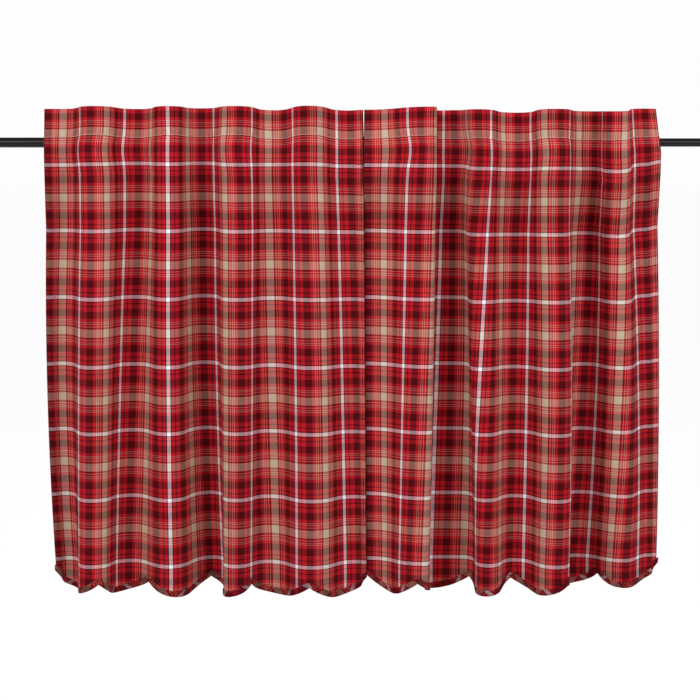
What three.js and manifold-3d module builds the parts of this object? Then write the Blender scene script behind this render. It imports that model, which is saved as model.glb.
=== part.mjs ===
// A pair of scalloped tier curtains gathered on a telescoping cafe rod.
//
// Millimetres, +Z up, +X to the right and +Y away from the room, so the face of the cloth looks
// along -Y. The origin is on the rod's axis, at the middle of its length.
//
// Each curtain is one piece of cloth, drawn here as it hangs. Every point of it has a place on the
// flat cloth: "across" runs from the left side hem to the right one, and "down" from the top edge to
// the hem. A level line across the cloth passes through all of its folds, and between one fold and
// the next it bends as a strip that is pushed together does.

import * as THREE from 'three';
import { mergeVertices } from 'three/addons/utils/BufferGeometryUtils.js';
import Module from 'manifold-3d';

const wasm = await Module();
wasm.setup();

// ---------------------------------------------------------------- driving sizes

const GAP = 0.3; // running clearance between two pieces

const ROD = {
  end: 700, // half the length between the tube ends
  outerRadius: 9.5,
  innerRadius: 8,
  wall: 1.2,
  outerTubeStop: 20, // where the wide tube ends
  overlap: 200, // how far the narrow tube runs inside the wide one
  sides: 24,
};

const CAP = { plug: 15, flange: 12, lip: 1.5, bevel: 2.5 };

const CLOTH = {
  width: 914.4,
  length: 916,
  thickness: 1.5,
  headingThickness: 2.4, // folded over, so two layers
  topHeight: 64.5, // top edge above the rod's axis
};

// The pocket's two rows of stitches, measured down from the top edge, and its back layer, which
// turns round the rod in a few bends with a little ease.
const POCKET = { upper: 53, lower: 127, thickness: 1.3, ease: 0.4, turn: Math.PI * 0.75, bends: 3 };

const SCALLOPS = { count: 6, rise: 23.5, cornerRise: 33, columns: 7 };

// The binding's ease lets its flat facets clear those of the cloth inside it.
const BINDING = { width: 10, thickness: 1.2, overhang: 1.2, ease: 1 };

// ---------------------------------------------------------------- folds

// One row for each fold, from the left side hem to the right one. A ridge stands towards the room
// and a valley away from it.
//   acrossTop, acrossHem   where the fold's line lies on the flat cloth, at the pocket and the hem
//   xTop, xMiddle, xHem    where it hangs at the pocket, halfway and just above the scallops
//   depth                  its place along Y below the pocket
//   topEdge                height of the top edge above the rod's axis
//   drop, hemDrop          how far its wefts sink below the level, at the rod and at the hem
//   lean                   how far its top edge leans to the right
const FOLD_COLUMNS = [
  'acrossTop', 'acrossHem', 'xTop', 'xMiddle', 'xHem', 'depth', 'topEdge', 'drop', 'hemDrop', 'lean',
];

const LEFT_FOLDS = foldTable([
  [0, 0, -574.5, -577, -562, 19, 63, 0, 1, 0], // side hem
  [42, 42, -539.5, -549, -537, 29, 63, 0, 1, 0], // valley
  [138, 134, -477, -483, -488.5, -58, 67.5, -2, 0, 0], // ridge
  [260, 268, -396.5, -407, -413.5, 10, 62.5, -3, 2, 0], // valley
  [357, 352, -338, -341.5, -340, -51, 67.5, -2, 1, 0], // ridge
  [451, 462, -282, -275.5, -261, 29, 64, -3, -0.5, 0], // valley
  [572, 568, -211, -212, -215.5, -53, 67.5, -1, 0, 0], // ridge
  [686, 655, -140, -148.5, -155, -8, 60, -1, 0, 0], // valley
  [770, 766, -79.5, -73, -72, -62, 68, -2, 0.5, 0], // ridge
  [886, 884, -2, 7, 12.5, -10, 59.5, 2, 0, -0.5], // valley
  [914.4, 914.4, 25.5, 28.5, 31, 4, 61, 3, 4, -2], // side hem
]);

const RIGHT_FOLDS = foldTable([
  [0, 0, 26.2, 27.5, 30.5, 12, 61, 0, -2.5, 1], // side hem
  [154, 164, 150.5, 146, 139, -30, 66.5, 1, 0, 0.5], // ridge
  [218, 231, 165, 160, 155.5, 34, 60, 1.5, 0, 0], // valley, its steep side
  [265, 288, 200, 209.5, 212.5, 34, 60.5, 2, 0, 0], // valley, its far side
  [325, 392, 235, 245, 262, -42, 61.5, 6, 1, 0], // ridge
  [451, 462, 311.5, 312, 310.5, 5, 55.5, 8, -0.5, 0], // valley
  [566, 577, 377, 387.5, 386.5, -63, 62, 5.5, -0.5, 0], // ridge
  [692, 712, 449, 446, 435, 48, 58.5, 7, 0, 0], // valley
  [780, 830, 498, 516, 521, -8, 58, 12, -1.5, 0], // ridge
  [885, 885, 555, 569, 572, 36, 63.5, -1, -3, -5], // valley
  [914.4, 914.4, 584.5, 592, 589, 44, 63.5, -6, -2, -9], // side hem
]);

// Where each pocket's back layer starts and ends along the rod. The left one ends short of its front
// cloth, which leaves room behind it for the right curtain's edge.
const ON_ROD = { left: [-575, 14], right: [26, 584.5] };

// Each hem is cut a little askew: how much longer its cloth is at the left side and at the right.
const LONGER = { left: [-3, 3], right: [4, -8] };

// The depth of the folds along the height, the same on both curtains.
//   share   the part of the full depth that the folds have
//   back    where the furthest valley lies along Y: just in front of the rod
//   free    how much of the furthest valley's own depth is added, from 0 at the rod to 1 below it
//   lift    how far the wefts lie above their place on cloth that hangs straight down
const HEIGHT_COLUMNS = ['down', 'share', 'back', 'free', 'lift'];
const HEIGHTS = [
  [0, 0.72, -3, 0, 0],
  [51, 0.55, -9.5, 0, 0],
  [66, 0.64, -12, 0, 0],
  [90, 0.7, -12, 0, 0.5],
  [127, 0.68, -7, 0, 1.5],
  [230, 0.95, 0, 1, 1],
  [360, 1, 0, 1, -1],
  [500, 1, 0, 1, -3],
  [864, 1, 0, 1, -1],
].map((row) => named(HEIGHT_COLUMNS, row));

// Levels of the faceted cloth, measured down from the top edge. The last two follow the scallops.
const LEVELS = [0, POCKET.upper, 68, 90, POCKET.lower, 190, 340, 560, 790];

const SCALLOPS_START = 864; // the level of xHem and acrossHem
const HEADING_SETTLED = 107; // the uneven top edge has evened out at this level
const LEAN_ENDS = 85; // the heading's sideways lean ends at this level

// The steepest slopes that a strip between two folds can have, and how finely one is solved.
const LEAN = { least: 0.02, most: 2.3, halvings: 30, steps: 24 };

function named(columns, row) {
  return Object.fromEntries(columns.map((column, i) => [column, row[i]]));
}

function foldTable(rows) {
  return rows.map((row) => named(FOLD_COLUMNS, row));
}

// ---------------------------------------------------------------- shape of the hanging cloth

const lerp = THREE.MathUtils.lerp;
const clamp = THREE.MathUtils.clamp;

// Simpson's rule for a strip whose slope turns by lean * sin(pi * s): its reach and its rise up to s.
function bend(lean, s) {
  let reach = 0;
  let rise = 0;
  for (let i = 0; i <= LEAN.steps; i += 1) {
    const weight = i === 0 || i === LEAN.steps ? 1 : i % 2 ? 4 : 2;
    const slope = lean * Math.sin((Math.PI * s * i) / LEAN.steps);
    reach += weight * Math.cos(slope);
    rise += weight * Math.sin(slope);
  }
  const step = s / LEAN.steps / 3;
  return { reach: reach * step, rise: rise * step };
}

// The steepest slope of a strip of length 1 that is pushed together to this reach.
function leanFor(reach) {
  let low = LEAN.least;
  let high = LEAN.most;
  for (let i = 0; i < LEAN.halvings; i += 1) {
    const middle = (low + high) / 2;
    if (bend(middle, 1).reach > reach) low = middle;
    else high = middle;
  }
  return (low + high) / 2;
}

// A value that passes through three others: at the pocket, halfway and at the scallops.
function throughThree(top, middle, hem, t) {
  return top * (1 - t) * (1 - 2 * t) + middle * 4 * t * (1 - t) + hem * t * (2 * t - 1);
}

function heightRow(down) {
  let i = 1;
  while (i < HEIGHTS.length - 1 && HEIGHTS[i].down < down) i += 1;
  const above = HEIGHTS[i - 1];
  const below = HEIGHTS[i];
  const t = clamp((down - above.down) / (below.down - above.down), 0, 1);
  return {
    share: lerp(above.share, below.share, t),
    back: lerp(above.back, below.back, t),
    free: lerp(above.free, below.free, t),
    lift: lerp(above.lift, below.lift, t),
  };
}

// The folds as they stand at one level of the cloth.
function foldsAt(curtain, down) {
  const t = clamp((down - POCKET.lower) / (SCALLOPS_START - POCKET.lower), 0, 1);
  const level = heightRow(down);
  const furthest = Math.max(...curtain.folds.map((fold) => fold.depth));
  const heading = 1 - THREE.MathUtils.smoothstep(down, POCKET.upper, HEADING_SETTLED);
  const standing = curtain.folds.map((fold) => ({
    across: lerp(fold.acrossTop, fold.acrossHem, t),
    x: throughThree(fold.xTop, fold.xMiddle, fold.xHem, t) + fold.lean * Math.max(0, 1 - down / LEAN_ENDS),
    y: level.back + level.free * furthest - level.share * (furthest - fold.depth),
    z:
      CLOTH.topHeight -
      down +
      level.lift +
      (fold.topEdge - CLOTH.topHeight) * heading -
      fold.drop * (1 - heading) * (1 - t) -
      fold.hemDrop * t,
  }));
  for (let i = 0; i < standing.length - 1; i += 1) {
    const from = standing[i];
    const to = standing[i + 1];
    from.run = to.across - from.across;
    from.lean = leanFor((to.x - from.x) / from.run);
    from.rise = bend(from.lean, 1).rise;
  }
  return standing;
}

function pointOn(standing, across) {
  let i = 0;
  while (i < standing.length - 2 && standing[i + 1].across < across) i += 1;
  const from = standing[i];
  const to = standing[i + 1];
  const s = (across - from.across) / from.run;
  const part = bend(from.lean, s);
  const smooth = THREE.MathUtils.smoothstep(s, 0, 1);
  return new THREE.Vector3(
    from.x + part.reach * from.run,
    from.y + ((to.y - from.y) * part.rise) / from.rise,
    lerp(from.z, to.z, smooth),
  );
}

// A place on the cloth with the level direction that looks out of its face.
function clothAt(curtain, across, down) {
  const standing = foldsAt(curtain, down);
  const point = pointOn(standing, across);
  const step = 2;
  const ahead = pointOn(standing, across + step);
  const behind = pointOn(standing, across - step);
  const out = new THREE.Vector3(ahead.y - behind.y, behind.x - ahead.x, 0).normalize();
  return { point, out };
}

// Where the hem lies, measured down from the top edge: equal arcs, with the two corners cut higher.
function hemDown(curtain, across) {
  const lobe = CLOTH.width / SCALLOPS.count;
  const index = clamp(Math.floor(across / lobe), 0, SCALLOPS.count - 1);
  const fromMiddle = across - (index + 0.5) * lobe;
  const corner = (index === 0 && fromMiddle < 0) || (index === SCALLOPS.count - 1 && fromMiddle > 0);
  const rise = corner ? SCALLOPS.cornerRise : SCALLOPS.rise;
  const radius = ((lobe / 2) ** 2 + rise ** 2) / (2 * rise);
  const longer = lerp(...curtain.longer, across / CLOTH.width);
  return CLOTH.length + longer - (radius - Math.sqrt(radius ** 2 - fromMiddle ** 2));
}

function columnPlaces() {
  const count = SCALLOPS.count * SCALLOPS.columns;
  return Array.from({ length: count + 1 }, (_, i) => (CLOTH.width * i) / count);
}

// ---------------------------------------------------------------- closed meshes

function geometryFrom(points, triangles) {
  const geometry = new THREE.BufferGeometry();
  const numbers = new Float32Array(points.flatMap((point) => point.toArray()));
  geometry.setAttribute('position', new THREE.BufferAttribute(numbers, 3));
  geometry.setIndex(triangles);
  return geometry;
}

// A closed band of sections. Each section is a ring of points, and "lid" lists the quads that close
// the first and the last one. A quad is split along its shorter diagonal, so that a binding is
// faceted as the cloth inside it is.
function closedBand(sections, lid) {
  const size = sections[0].length;
  const points = sections.flat();
  const triangles = [];
  const quad = (a, b, c, d) => {
    if (points[a].distanceTo(points[c]) < points[b].distanceTo(points[d])) {
      triangles.push(a, b, c, a, c, d);
    } else {
      triangles.push(a, b, d, b, c, d);
    }
  };
  for (let i = 0; i < sections.length - 1; i += 1) {
    for (let k = 0; k < size; k += 1) {
      const next = (k + 1) % size;
      quad(i * size + k, i * size + next, (i + 1) * size + next, (i + 1) * size + k);
    }
  }
  const last = (sections.length - 1) * size;
  for (const [a, b, c, d] of lid) {
    quad(d, c, b, a);
    quad(last + a, last + b, last + c, last + d);
  }
  return geometryFrom(points, triangles);
}

// A sheet between a face and a back, given as one strip of points for each column.
function sheet(columns) {
  const count = columns[0].face.length;
  const sections = columns.map(({ face, back }) => [...face, ...[...back].reverse()]);
  const lid = [];
  for (let i = 0; i < count - 1; i += 1) lid.push([i, i + 1, 2 * count - 2 - i, 2 * count - 1 - i]);
  return closedBand(sections, lid);
}

function toSolid(geometry) {
  const vertProperties = new Float32Array(geometry.getAttribute('position').array);
  const triVerts = new Uint32Array(geometry.getIndex().array);
  return new wasm.Manifold(new wasm.Mesh({ numProp: 3, vertProperties, triVerts }));
}

function fromSolid(solid) {
  const mesh = solid.getMesh();
  const geometry = new THREE.BufferGeometry();
  geometry.setAttribute('position', new THREE.BufferAttribute(new Float32Array(mesh.vertProperties), 3));
  geometry.setIndex([...mesh.triVerts]);
  return geometry;
}

// ---------------------------------------------------------------- the curtain's pieces

// The cloth from its top edge down to the scallops, face and back.
function frontCloth(curtain) {
  return sheet(
    columnPlaces().map((across) => {
      const hem = hemDown(curtain, across);
      const levels = [...LEVELS, hem - BINDING.width, hem];
      const face = [];
      const back = [];
      for (const down of levels) {
        const { point, out } = clothAt(curtain, across, down);
        const thickness = down <= POCKET.upper ? CLOTH.headingThickness : CLOTH.thickness;
        face.push(point.clone().addScaledVector(out, thickness / 2));
        back.push(point.clone().addScaledVector(out, -thickness / 2));
      }
      return { face, back };
    }),
  );
}

// The pocket's back layer leaves the cloth at the upper stitches, passes over and behind the rod and
// comes back to the cloth at the lower stitches.
function pocketBack(curtain) {
  const half = POCKET.thickness / 2;
  const snug = curtain.rodRadius + POCKET.ease + half;
  return sheet(
    columnPlaces().map((across) => {
      const upper = clothAt(curtain, across, POCKET.upper).point;
      const lower = clothAt(curtain, across, POCKET.lower).point;
      const x = lerp(...curtain.onRod, across / CLOTH.width);
      const radius = snug / Math.cos(POCKET.turn / POCKET.bends / 2);
      const start = tangentAngle(upper, radius, -1);
      const end = tangentAngle(lower, radius, 1);
      const path = [upper];
      for (let i = 0; i <= POCKET.bends; i += 1) {
        const angle = lerp(start, end, i / POCKET.bends);
        path.push(new THREE.Vector3(x, radius * Math.cos(angle), radius * Math.sin(angle)));
      }
      path.push(lower);
      return offsetBothWays(path, half);
    }),
  );
}

// Where a straight line from a point touches the circle around the rod's axis.
function tangentAngle(point, radius, side) {
  const distance = Math.hypot(point.y, point.z);
  let angle = Math.atan2(point.z, point.y) + side * Math.acos(radius / distance);
  if (angle < -Math.PI) angle += 2 * Math.PI;
  return angle;
}

function offsetBothWays(path, half) {
  const face = [];
  const back = [];
  path.forEach((point, i) => {
    const before = path[Math.max(i - 1, 0)];
    const after = path[Math.min(i + 1, path.length - 1)];
    const inward = new THREE.Vector3(0, after.z - before.z, before.y - after.y).normalize();
    face.push(point.clone().addScaledVector(inward, half));
    back.push(point.clone().addScaledVector(inward, -half));
  });
  return { face, back };
}

function curtainCloth(curtain) {
  const whole = toSolid(frontCloth(curtain)).add(toSolid(pocketBack(curtain)));
  return fromSolid(whole);
}

// A strip folded over the scalloped edge, with a leg on the face and one on the back.
function hemBinding(curtain) {
  const inner = CLOTH.thickness / 2 + BINDING.ease;
  const outer = inner + BINDING.thickness;
  const foot = BINDING.ease + BINDING.thickness;
  const places = columnPlaces();
  const ends = [-BINDING.overhang, CLOTH.width + BINDING.overhang];
  const sections = [ends[0], ...places, ends[1]].map((across) => {
    const hem = hemDown(curtain, clamp(across, 0, CLOTH.width));
    const top = clothAt(curtain, across, hem - BINDING.width);
    const edge = clothAt(curtain, across, hem);
    const at = (place, off, below) =>
      place.point.clone().addScaledVector(place.out, off).add(new THREE.Vector3(0, 0, -below));
    return [
      at(top, outer, 0),
      at(edge, outer, foot),
      at(edge, -outer, foot),
      at(top, -outer, 0),
      at(top, -inner, 0),
      at(edge, -inner, BINDING.ease),
      at(edge, inner, BINDING.ease),
      at(top, inner, 0),
    ];
  });
  return closedBand(sections, [[0, 1, 6, 7], [1, 2, 5, 6], [2, 3, 4, 5]]);
}

// ---------------------------------------------------------------- the rod's pieces

// A round piece along X: its profile lists radius and distance along the rod, closed on itself.
function turned(profile, sides) {
  const points = [...profile, profile[0]].map(([radius, along]) => new THREE.Vector2(radius, along));
  const geometry = new THREE.LatheGeometry(points, sides);
  geometry.deleteAttribute('normal');
  geometry.deleteAttribute('uv');
  return mergeVertices(geometry, 1e-3);
}

function tube(radius, bore, from, to) {
  return turned([[bore, from], [radius, from], [radius, to], [bore, to]], ROD.sides);
}

// A plug in the tube's mouth under a bevelled flat disc. "along" runs outwards from the mouth.
function endCap(radius, bore) {
  const plug = bore - GAP;
  const disc = radius + CAP.lip;
  return turned(
    [
      [0, -CAP.plug],
      [plug, -CAP.plug],
      [plug, GAP],
      [disc, GAP],
      [disc, CAP.flange - CAP.bevel],
      [disc - CAP.bevel, CAP.flange],
      [0, CAP.flange],
    ],
    ROD.sides,
  );
}

// ---------------------------------------------------------------- materials and assembly

const plaid = new THREE.MeshStandardMaterial({ color: 0x9c1f28, roughness: 0.9, metalness: 0 });
const bias = new THREE.MeshStandardMaterial({ color: 0x7e1a22, roughness: 0.92, metalness: 0 });
const bronze = new THREE.MeshStandardMaterial({ color: 0x2b2524, roughness: 0.4, metalness: 0.6 });
const capBronze = new THREE.MeshStandardMaterial({ color: 0x241f1e, roughness: 0.5, metalness: 0.3 });

const curtains = new THREE.Group();

function addPiece(name, geometry, material, parent = curtains) {
  const mesh = new THREE.Mesh(geometry, material);
  mesh.name = name;
  parent.add(mesh);
  return mesh;
}

function addCurtain(side, folds, rodRadius) {
  const curtain = { folds, rodRadius, onRod: ON_ROD[side], longer: LONGER[side] };
  addPiece(`${side}_panel`, curtainCloth(curtain), plaid);
  addPiece(`${side}_binding`, hemBinding(curtain), bias);
}

function addRod() {
  const rod = new THREE.Group();
  rod.rotation.z = -Math.PI / 2; // the turned pieces stand along Y, and the rod lies along X
  const wideBore = ROD.outerRadius - ROD.wall;
  const narrowBore = ROD.innerRadius - ROD.wall;
  const narrowStart = ROD.outerTubeStop - ROD.overlap;
  addPiece('rod_outer_tube', tube(ROD.outerRadius, wideBore, -ROD.end, ROD.outerTubeStop), bronze, rod);
  addPiece('rod_inner_tube', tube(ROD.innerRadius, narrowBore, narrowStart, ROD.end), bronze, rod);
  const left = addPiece('rod_cap_left', endCap(ROD.outerRadius, wideBore), capBronze, rod);
  left.position.y = -ROD.end;
  left.rotation.z = Math.PI;
  const right = addPiece('rod_cap_right', endCap(ROD.innerRadius, narrowBore), capBronze, rod);
  right.position.y = ROD.end;
  curtains.add(rod);
}

addRod();
addCurtain('left', LEFT_FOLDS, ROD.outerRadius);
addCurtain('right', RIGHT_FOLDS, ROD.innerRadius);

export default curtains;
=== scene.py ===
# %% [markdown]
# # A pair of tier curtains on a cafe rod
# Tier curtains are short curtains that cover the lower half of a window. Here two gathered cloths
# hang side by side from one thin telescoping rod. A plain solid model of the pair is given, in
# metres, and these cells dress it. They work from the inside out: first how a hanging cloth bends,
# then the sewn pieces, then the yarns that colour them, and last the studio.

import math

import bmesh
import bpy
import numpy as np
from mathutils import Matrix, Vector


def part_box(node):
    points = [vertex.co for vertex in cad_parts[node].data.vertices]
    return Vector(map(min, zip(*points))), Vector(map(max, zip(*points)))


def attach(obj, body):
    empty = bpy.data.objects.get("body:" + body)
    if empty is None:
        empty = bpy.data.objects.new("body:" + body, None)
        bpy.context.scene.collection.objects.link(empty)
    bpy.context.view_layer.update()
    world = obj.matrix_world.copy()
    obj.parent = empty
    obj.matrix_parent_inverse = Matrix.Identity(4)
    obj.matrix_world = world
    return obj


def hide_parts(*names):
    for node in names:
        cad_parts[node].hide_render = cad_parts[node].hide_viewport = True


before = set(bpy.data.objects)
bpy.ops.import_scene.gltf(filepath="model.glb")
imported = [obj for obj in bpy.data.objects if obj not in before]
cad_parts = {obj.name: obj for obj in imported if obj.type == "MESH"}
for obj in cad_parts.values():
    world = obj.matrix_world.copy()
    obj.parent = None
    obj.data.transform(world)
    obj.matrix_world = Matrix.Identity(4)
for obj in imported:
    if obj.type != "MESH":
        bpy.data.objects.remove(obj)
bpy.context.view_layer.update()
print("pieces of the plain model:", ", ".join(sorted(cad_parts)))

# %% [markdown]
# ## Sizes of the sewing
# A sewn thing is easiest to describe flat, as its pattern. Each curtain is a 36 inch square with a
# heading that stands above the rod, a pocket that the rod slides through, narrow side hems and six
# scallops along the bottom. We keep these sizes in one place and in metres, so that every later
# cell can work from them.

# %% Sizes of one curtain
MM = 0.001
WIDTH = 914.4 * MM
LENGTH = 916 * MM
TOP_HEIGHT = 64.5 * MM  # the top edge above the rod's axis
UPPER_STITCHES = 53 * MM  # measured down from the top edge
LOWER_STITCHES = 127 * MM
SCALLOPS_START = 864 * MM
LOBES = 6
LOBE = WIDTH / LOBES
LOBE_RISE = 23.5 * MM
CORNER_RISE = 33 * MM
LONGER = {"left": (-3, 3), "right": (4, -8)}  # mm at the two sides: each hem is cut a little askew
SIDE_HEM = 25 * MM
CLOTH_THICKNESS = 0.8 * MM


def radius_of(node):
    low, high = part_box(node)
    return (high.z - low.z) / 2


ROD_RADIUS = {"left": radius_of("rod_outer_tube"), "right": radius_of("rod_inner_tube")}
print("rod radii in mm:", {side: round(r / MM, 2) for side, r in ROD_RADIUS.items()})

# %% [markdown]
# ## Where the folds hang
# A gathered curtain shows a row of soft folds. A simulated cloth would give other folds on every
# change, and we want these ones, so each ridge and valley is a row in a short table. A row says
# where the fold's line lies on the flat cloth, where it hangs, how deep it stands (minus is
# towards the room), how high its top edge is, how far its wefts sink at the rod and at the hem, and
# how far its top edge leans to the right. A second table says how the depths change with height.

# %% Fold tables, in millimetres
FOLD_COLUMNS = (
    "across_top", "across_hem", "x_top", "x_middle", "x_hem", "depth", "top_edge",
    "drop", "hem_drop", "lean",
)
FOLDS = {
    "left": [
        (0, 0, -574.5, -577, -562, 19, 63, 0, 1, 0),
        (42, 42, -539.5, -549, -537, 29, 63, 0, 1, 0),
        (138, 134, -477, -483, -488.5, -58, 67.5, -2, 0, 0),
        (260, 268, -396.5, -407, -413.5, 10, 62.5, -3, 2, 0),
        (357, 352, -338, -341.5, -340, -51, 67.5, -2, 1, 0),
        (451, 462, -282, -275.5, -261, 29, 64, -3, -0.5, 0),
        (572, 568, -211, -212, -215.5, -53, 67.5, -1, 0, 0),
        (686, 655, -140, -148.5, -155, -8, 60, -1, 0, 0),
        (770, 766, -79.5, -73, -72, -62, 68, -2, 0.5, 0),
        (886, 884, -2, 7, 12.5, -10, 59.5, 2, 0, -0.5),
        (914.4, 914.4, 26, 28.5, 31, 4, 61, 3, 4, -1.7),
    ],
    "right": [
        (0, 0, 26.2, 27.5, 30.5, 12, 61, 0, -2.5, 0.6),
        (154, 164, 150.5, 146, 139, -30, 66.5, 1, 0, 0.5),
        (218, 231, 165, 160, 155.5, 34, 60, 1.5, 0, 0),
        (265, 288, 200, 209.5, 212.5, 34, 60.5, 2, 0, 0),
        (325, 392, 235, 245, 262, -42, 61.5, 6, 1, 0),
        (451, 462, 311.5, 312, 310.5, 5, 55.5, 8, -0.5, 0),
        (566, 577, 377, 387.5, 386.5, -63, 62, 5.5, -0.5, 0),
        (692, 712, 449, 446, 435, 48, 58.5, 7, 0, 0),
        (780, 830, 498, 516, 521, -8, 58, 12, -1.5, 0),
        (885, 885, 555, 569, 572, 36, 63.5, -1, -3, -5),
        (914.4, 914.4, 584.5, 592, 589, 44, 63.5, -6, -2, -9),
    ],
}
HEIGHT_COLUMNS = ("down", "share", "back", "free", "lift")
HEIGHTS = [
    (0, 0.72, -3, 0, 0),
    (51, 0.55, -9.5, 0, 0),
    (66, 0.64, -12, 0, 0),
    (90, 0.7, -12, 0, 0.5),
    (127, 0.68, -7, 0, 1.5),
    (230, 0.95, 0, 1, 1),
    (360, 1, 0, 1, -1),
    (500, 1, 0, 1, -3),
    (864, 1, 0, 1, -1),
]
HEADING_SETTLED = 107 * MM  # here the uneven top edge has evened out
LEAN_ENDS = 85 * MM  # and here its lean to the side
ON_ROD = {"left": (-575, 14), "right": (26, 584.5)}  # where each pocket grips the rod


def columns_of(names, rows):
    """The table turned on its side: one array for each named column."""
    return {name: np.array(column, float) for name, column in zip(names, zip(*rows))}


folds = {side: columns_of(FOLD_COLUMNS, rows) for side, rows in FOLDS.items()}
heights = columns_of(HEIGHT_COLUMNS, HEIGHTS)
print("folds:", {side: len(rows) for side, rows in FOLDS.items()})

# %% [markdown]
# ## How a strip bends between two folds
# Push the ends of a paper strip together and it bends in one smooth wave: its slope grows from
# nothing to a steepest lean halfway and back to nothing. Cloth between two folds does the same,
# and it keeps its length. So for each stretch we find the one lean whose wave spans the distance
# between its two folds. That keeps the woven pattern true, crowded on the sides of a fold and open
# on its ridge.

# %% The bending strip
WAVE = np.linspace(0, 1, 65)  # places along the strip


def strip(lean):
    """How far along and aside a strip of length 1 has gone at each step of its wave."""
    slope = lean * np.sin(np.pi * WAVE)

    def running(values):
        return np.concatenate([[0], np.cumsum(values[1:] + values[:-1])]) / 2 / (len(WAVE) - 1)

    return running(np.cos(slope)), running(np.sin(slope))


LEANS = np.linspace(0.02, 2.3, 300)  # from nearly straight to bent back over itself
REACHES = np.array([strip(lean)[0][-1] for lean in LEANS])


def lean_for(reach):
    return np.interp(reach, REACHES[::-1], LEANS[::-1])


print("a strip pushed to half its length leans", round(math.degrees(lean_for(0.5))), "degrees")


# %% [markdown]
# ## One level line of the cloth
# A level line is what you would see if you sliced the curtain flat: a wave through all its folds.
# Its folds are shallower at the rod, where the pocket holds them, and free below. The function
# gives the places of many points along such a line at once, because numpy is quick with whole
# arrays and slow with single points.

# %% Slice the hanging cloth at one level
def soft_step(value, start, end):
    t = np.clip((value - start) / (end - start), 0, 1)
    return t * t * (3 - 2 * t)


def through_three(top, middle, hem, t):
    return top * (1 - t) * (1 - 2 * t) + middle * 4 * t * (1 - t) + hem * t * (2 * t - 1)


def level_line(side, down, across):
    fold = folds[side]
    t = np.clip((down - LOWER_STITCHES) / (SCALLOPS_START - LOWER_STITCHES), 0, 1)
    share, back, free, lift = (
        np.interp(down / MM, heights["down"], heights[name]) for name in HEIGHT_COLUMNS[1:]
    )
    place = (fold["across_top"] * (1 - t) + fold["across_hem"] * t) * MM
    x = through_three(fold["x_top"], fold["x_middle"], fold["x_hem"], t) * MM
    x += fold["lean"] * MM * max(0, 1 - down / LEAN_ENDS)
    furthest = fold["depth"].max()
    y = (back + free * furthest - share * (furthest - fold["depth"])) * MM
    heading = 1 - soft_step(down, UPPER_STITCHES, HEADING_SETTLED)
    z = TOP_HEIGHT - down + lift * MM + (fold["top_edge"] * MM - TOP_HEIGHT) * heading
    z -= fold["drop"] * MM * (1 - heading) * (1 - t) + fold["hem_drop"] * MM * t
    points = np.zeros((len(across), 3))
    for i in range(len(place) - 1):
        last = i == len(place) - 2
        inside = (across >= place[i]) & ((across < place[i + 1]) | last)
        run = place[i + 1] - place[i]
        s = (across[inside] - place[i]) / run
        along, aside = strip(lean_for((x[i + 1] - x[i]) / run))
        points[inside, 0] = x[i] + np.interp(s, WAVE, along) * run
        points[inside, 1] = y[i] + (y[i + 1] - y[i]) * np.interp(s, WAVE, aside) / aside[-1]
        points[inside, 2] = z[i] + (z[i + 1] - z[i]) * soft_step(s, 0, 1)
    return points


sides = level_line("left", LENGTH / 2, np.array([0, WIDTH]))
print("halfway down, the left curtain hangs", round((sides[1, 0] - sides[0, 0]) / MM), "mm wide")

# %% [markdown]
# ## Creases and puckers
# Perfect folds look like sheet metal. Real cotton has soft upright creases from folding and
# packing, and it puckers along every row of stitches, because the thread draws it in. Both are
# small moves in and out of the surface. Each curtain draws them from its own seeded generator, so
# it comes out the same every time.

# %% Small moves in and out of the cloth
CREASES = 26
CREASE_DEPTH = 0.9 * MM
CREASE_TILT = 0.04
CREASE_HALF_WIDTHS = (7, 15)  # in mm
CREASE_SPREADS = (0.1, 0.3)  # how far up and down one reaches, in metres
PUCKERED_ROWS = ((UPPER_STITCHES, 18 * MM), (LOWER_STITCHES, 13 * MM))  # and how far they reach
PUCKER = 0.8 * MM
PUCKER_LENGTHS = (17 * MM, 17 * MM * 1.37)
PUCKERS_CHANGE = 110 * MM  # puckers grow and shrink along a row over this length
ANY_PHASE = 6.3  # a full turn
GROOVE_DEPTH = 0.6 * MM  # the thread draws its row in
GROOVE_WIDTH = 2.4 * MM


def creases(across, down, seed):
    """Moves out of the face, for a grid of places: rows go down and columns go across."""
    draw = np.random.RandomState(seed)
    u, v = np.meshgrid(across, down)
    moves = np.zeros_like(u)
    for _ in range(CREASES):
        middle = draw.uniform(0, WIDTH) + draw.uniform(-CREASE_TILT, CREASE_TILT) * v
        height = draw.uniform(150 * MM, LENGTH)
        spread = draw.uniform(*CREASE_SPREADS)
        half_width = draw.uniform(*CREASE_HALF_WIDTHS) * MM
        depth = draw.uniform(-CREASE_DEPTH, CREASE_DEPTH)
        moves += depth * np.exp(-(((u - middle) / half_width) ** 2) - ((v - height) / spread) ** 2)
    for line, reach in PUCKERED_ROWS:
        for length in PUCKER_LENGTHS:
            ripple = np.sin(2 * np.pi * u / length + draw.uniform(0, ANY_PHASE))
            changing = np.sin(2 * np.pi * u / PUCKERS_CHANGE + draw.uniform(0, ANY_PHASE))
            strength = PUCKER * (1 + 0.4 * changing)
            moves += strength * ripple * np.exp(-np.abs(v - line) / reach)
        moves -= GROOVE_DEPTH * np.exp(-(((v - line) / GROOVE_WIDTH) ** 2))
    return moves


print(CREASES, "creases up to", round(CREASE_DEPTH / MM, 1), "mm deep on each curtain")

# %% [markdown]
# ## Gathers along the rod
# A pocket is a little longer than its piece of rod, so the cloth bunches there, and the upright
# stripes bend to one side at the rod and come back below it. We could carve every gather, but the
# bend of the stripes is what the eye sees. A short table says how far the cloth is pushed to the
# right at some places, and a bell curve along the height lets the push fade out.

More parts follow.
